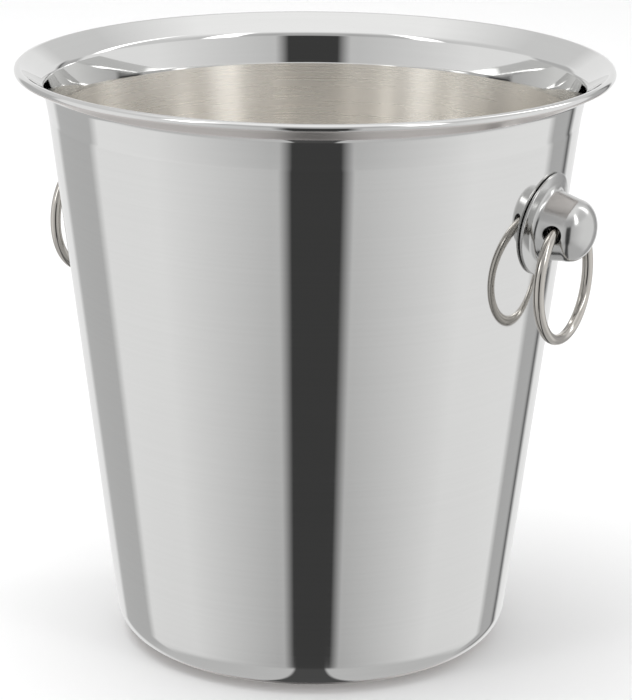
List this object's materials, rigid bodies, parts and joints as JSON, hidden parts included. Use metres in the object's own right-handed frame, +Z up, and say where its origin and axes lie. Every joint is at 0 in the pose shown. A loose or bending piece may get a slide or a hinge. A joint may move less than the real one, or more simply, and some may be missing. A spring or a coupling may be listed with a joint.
{
  "type": "champagne bucket",
  "caption": "Tapered round steel champagne or wine bucket with a flared rolled rim, an open top and ring handles that swing in domed bosses on the wall.",
  "frame": {"origin": "centre of the flat base, on the floor", "axes": "+Z up the bucket's axis; the right ring handle is on +X and the left one on -X, 1.2 degrees off square"},
  "size_m": [0.215, 0.21, 0.209],
  "materials": {
    "polished_steel": "polished stainless steel with fine spin lines outside and a brushed satin inside",
    "boss_steel": "mirror-polished stamped steel",
    "ring_steel": "polished steel wire with a slightly warm tone"
  },
  "bodies": {
    "bucket": {"bucket_shell": "polished_steel", "boss_right": "boss_steel", "boss_left": "boss_steel"},
    "right_ring": {"ring_right": "ring_steel"},
    "left_ring": {"ring_left": "ring_steel"}
  },
  "joints": [
    {"name": "ring_right_swing", "type": "hinge", "parent": "bucket", "child": "right_ring", "pos_m": [0.09691, 0, 0.16101], "axis": [0, -1, 0], "range_deg": [-14, 170]},
    {"name": "ring_left_swing", "type": "hinge", "parent": "bucket", "child": "left_ring", "pos_m": [-0.09689, 0.00203, 0.16101], "axis": [0.0209, 0.9998, 0], "range_deg": [-14, 170]}
  ]
}
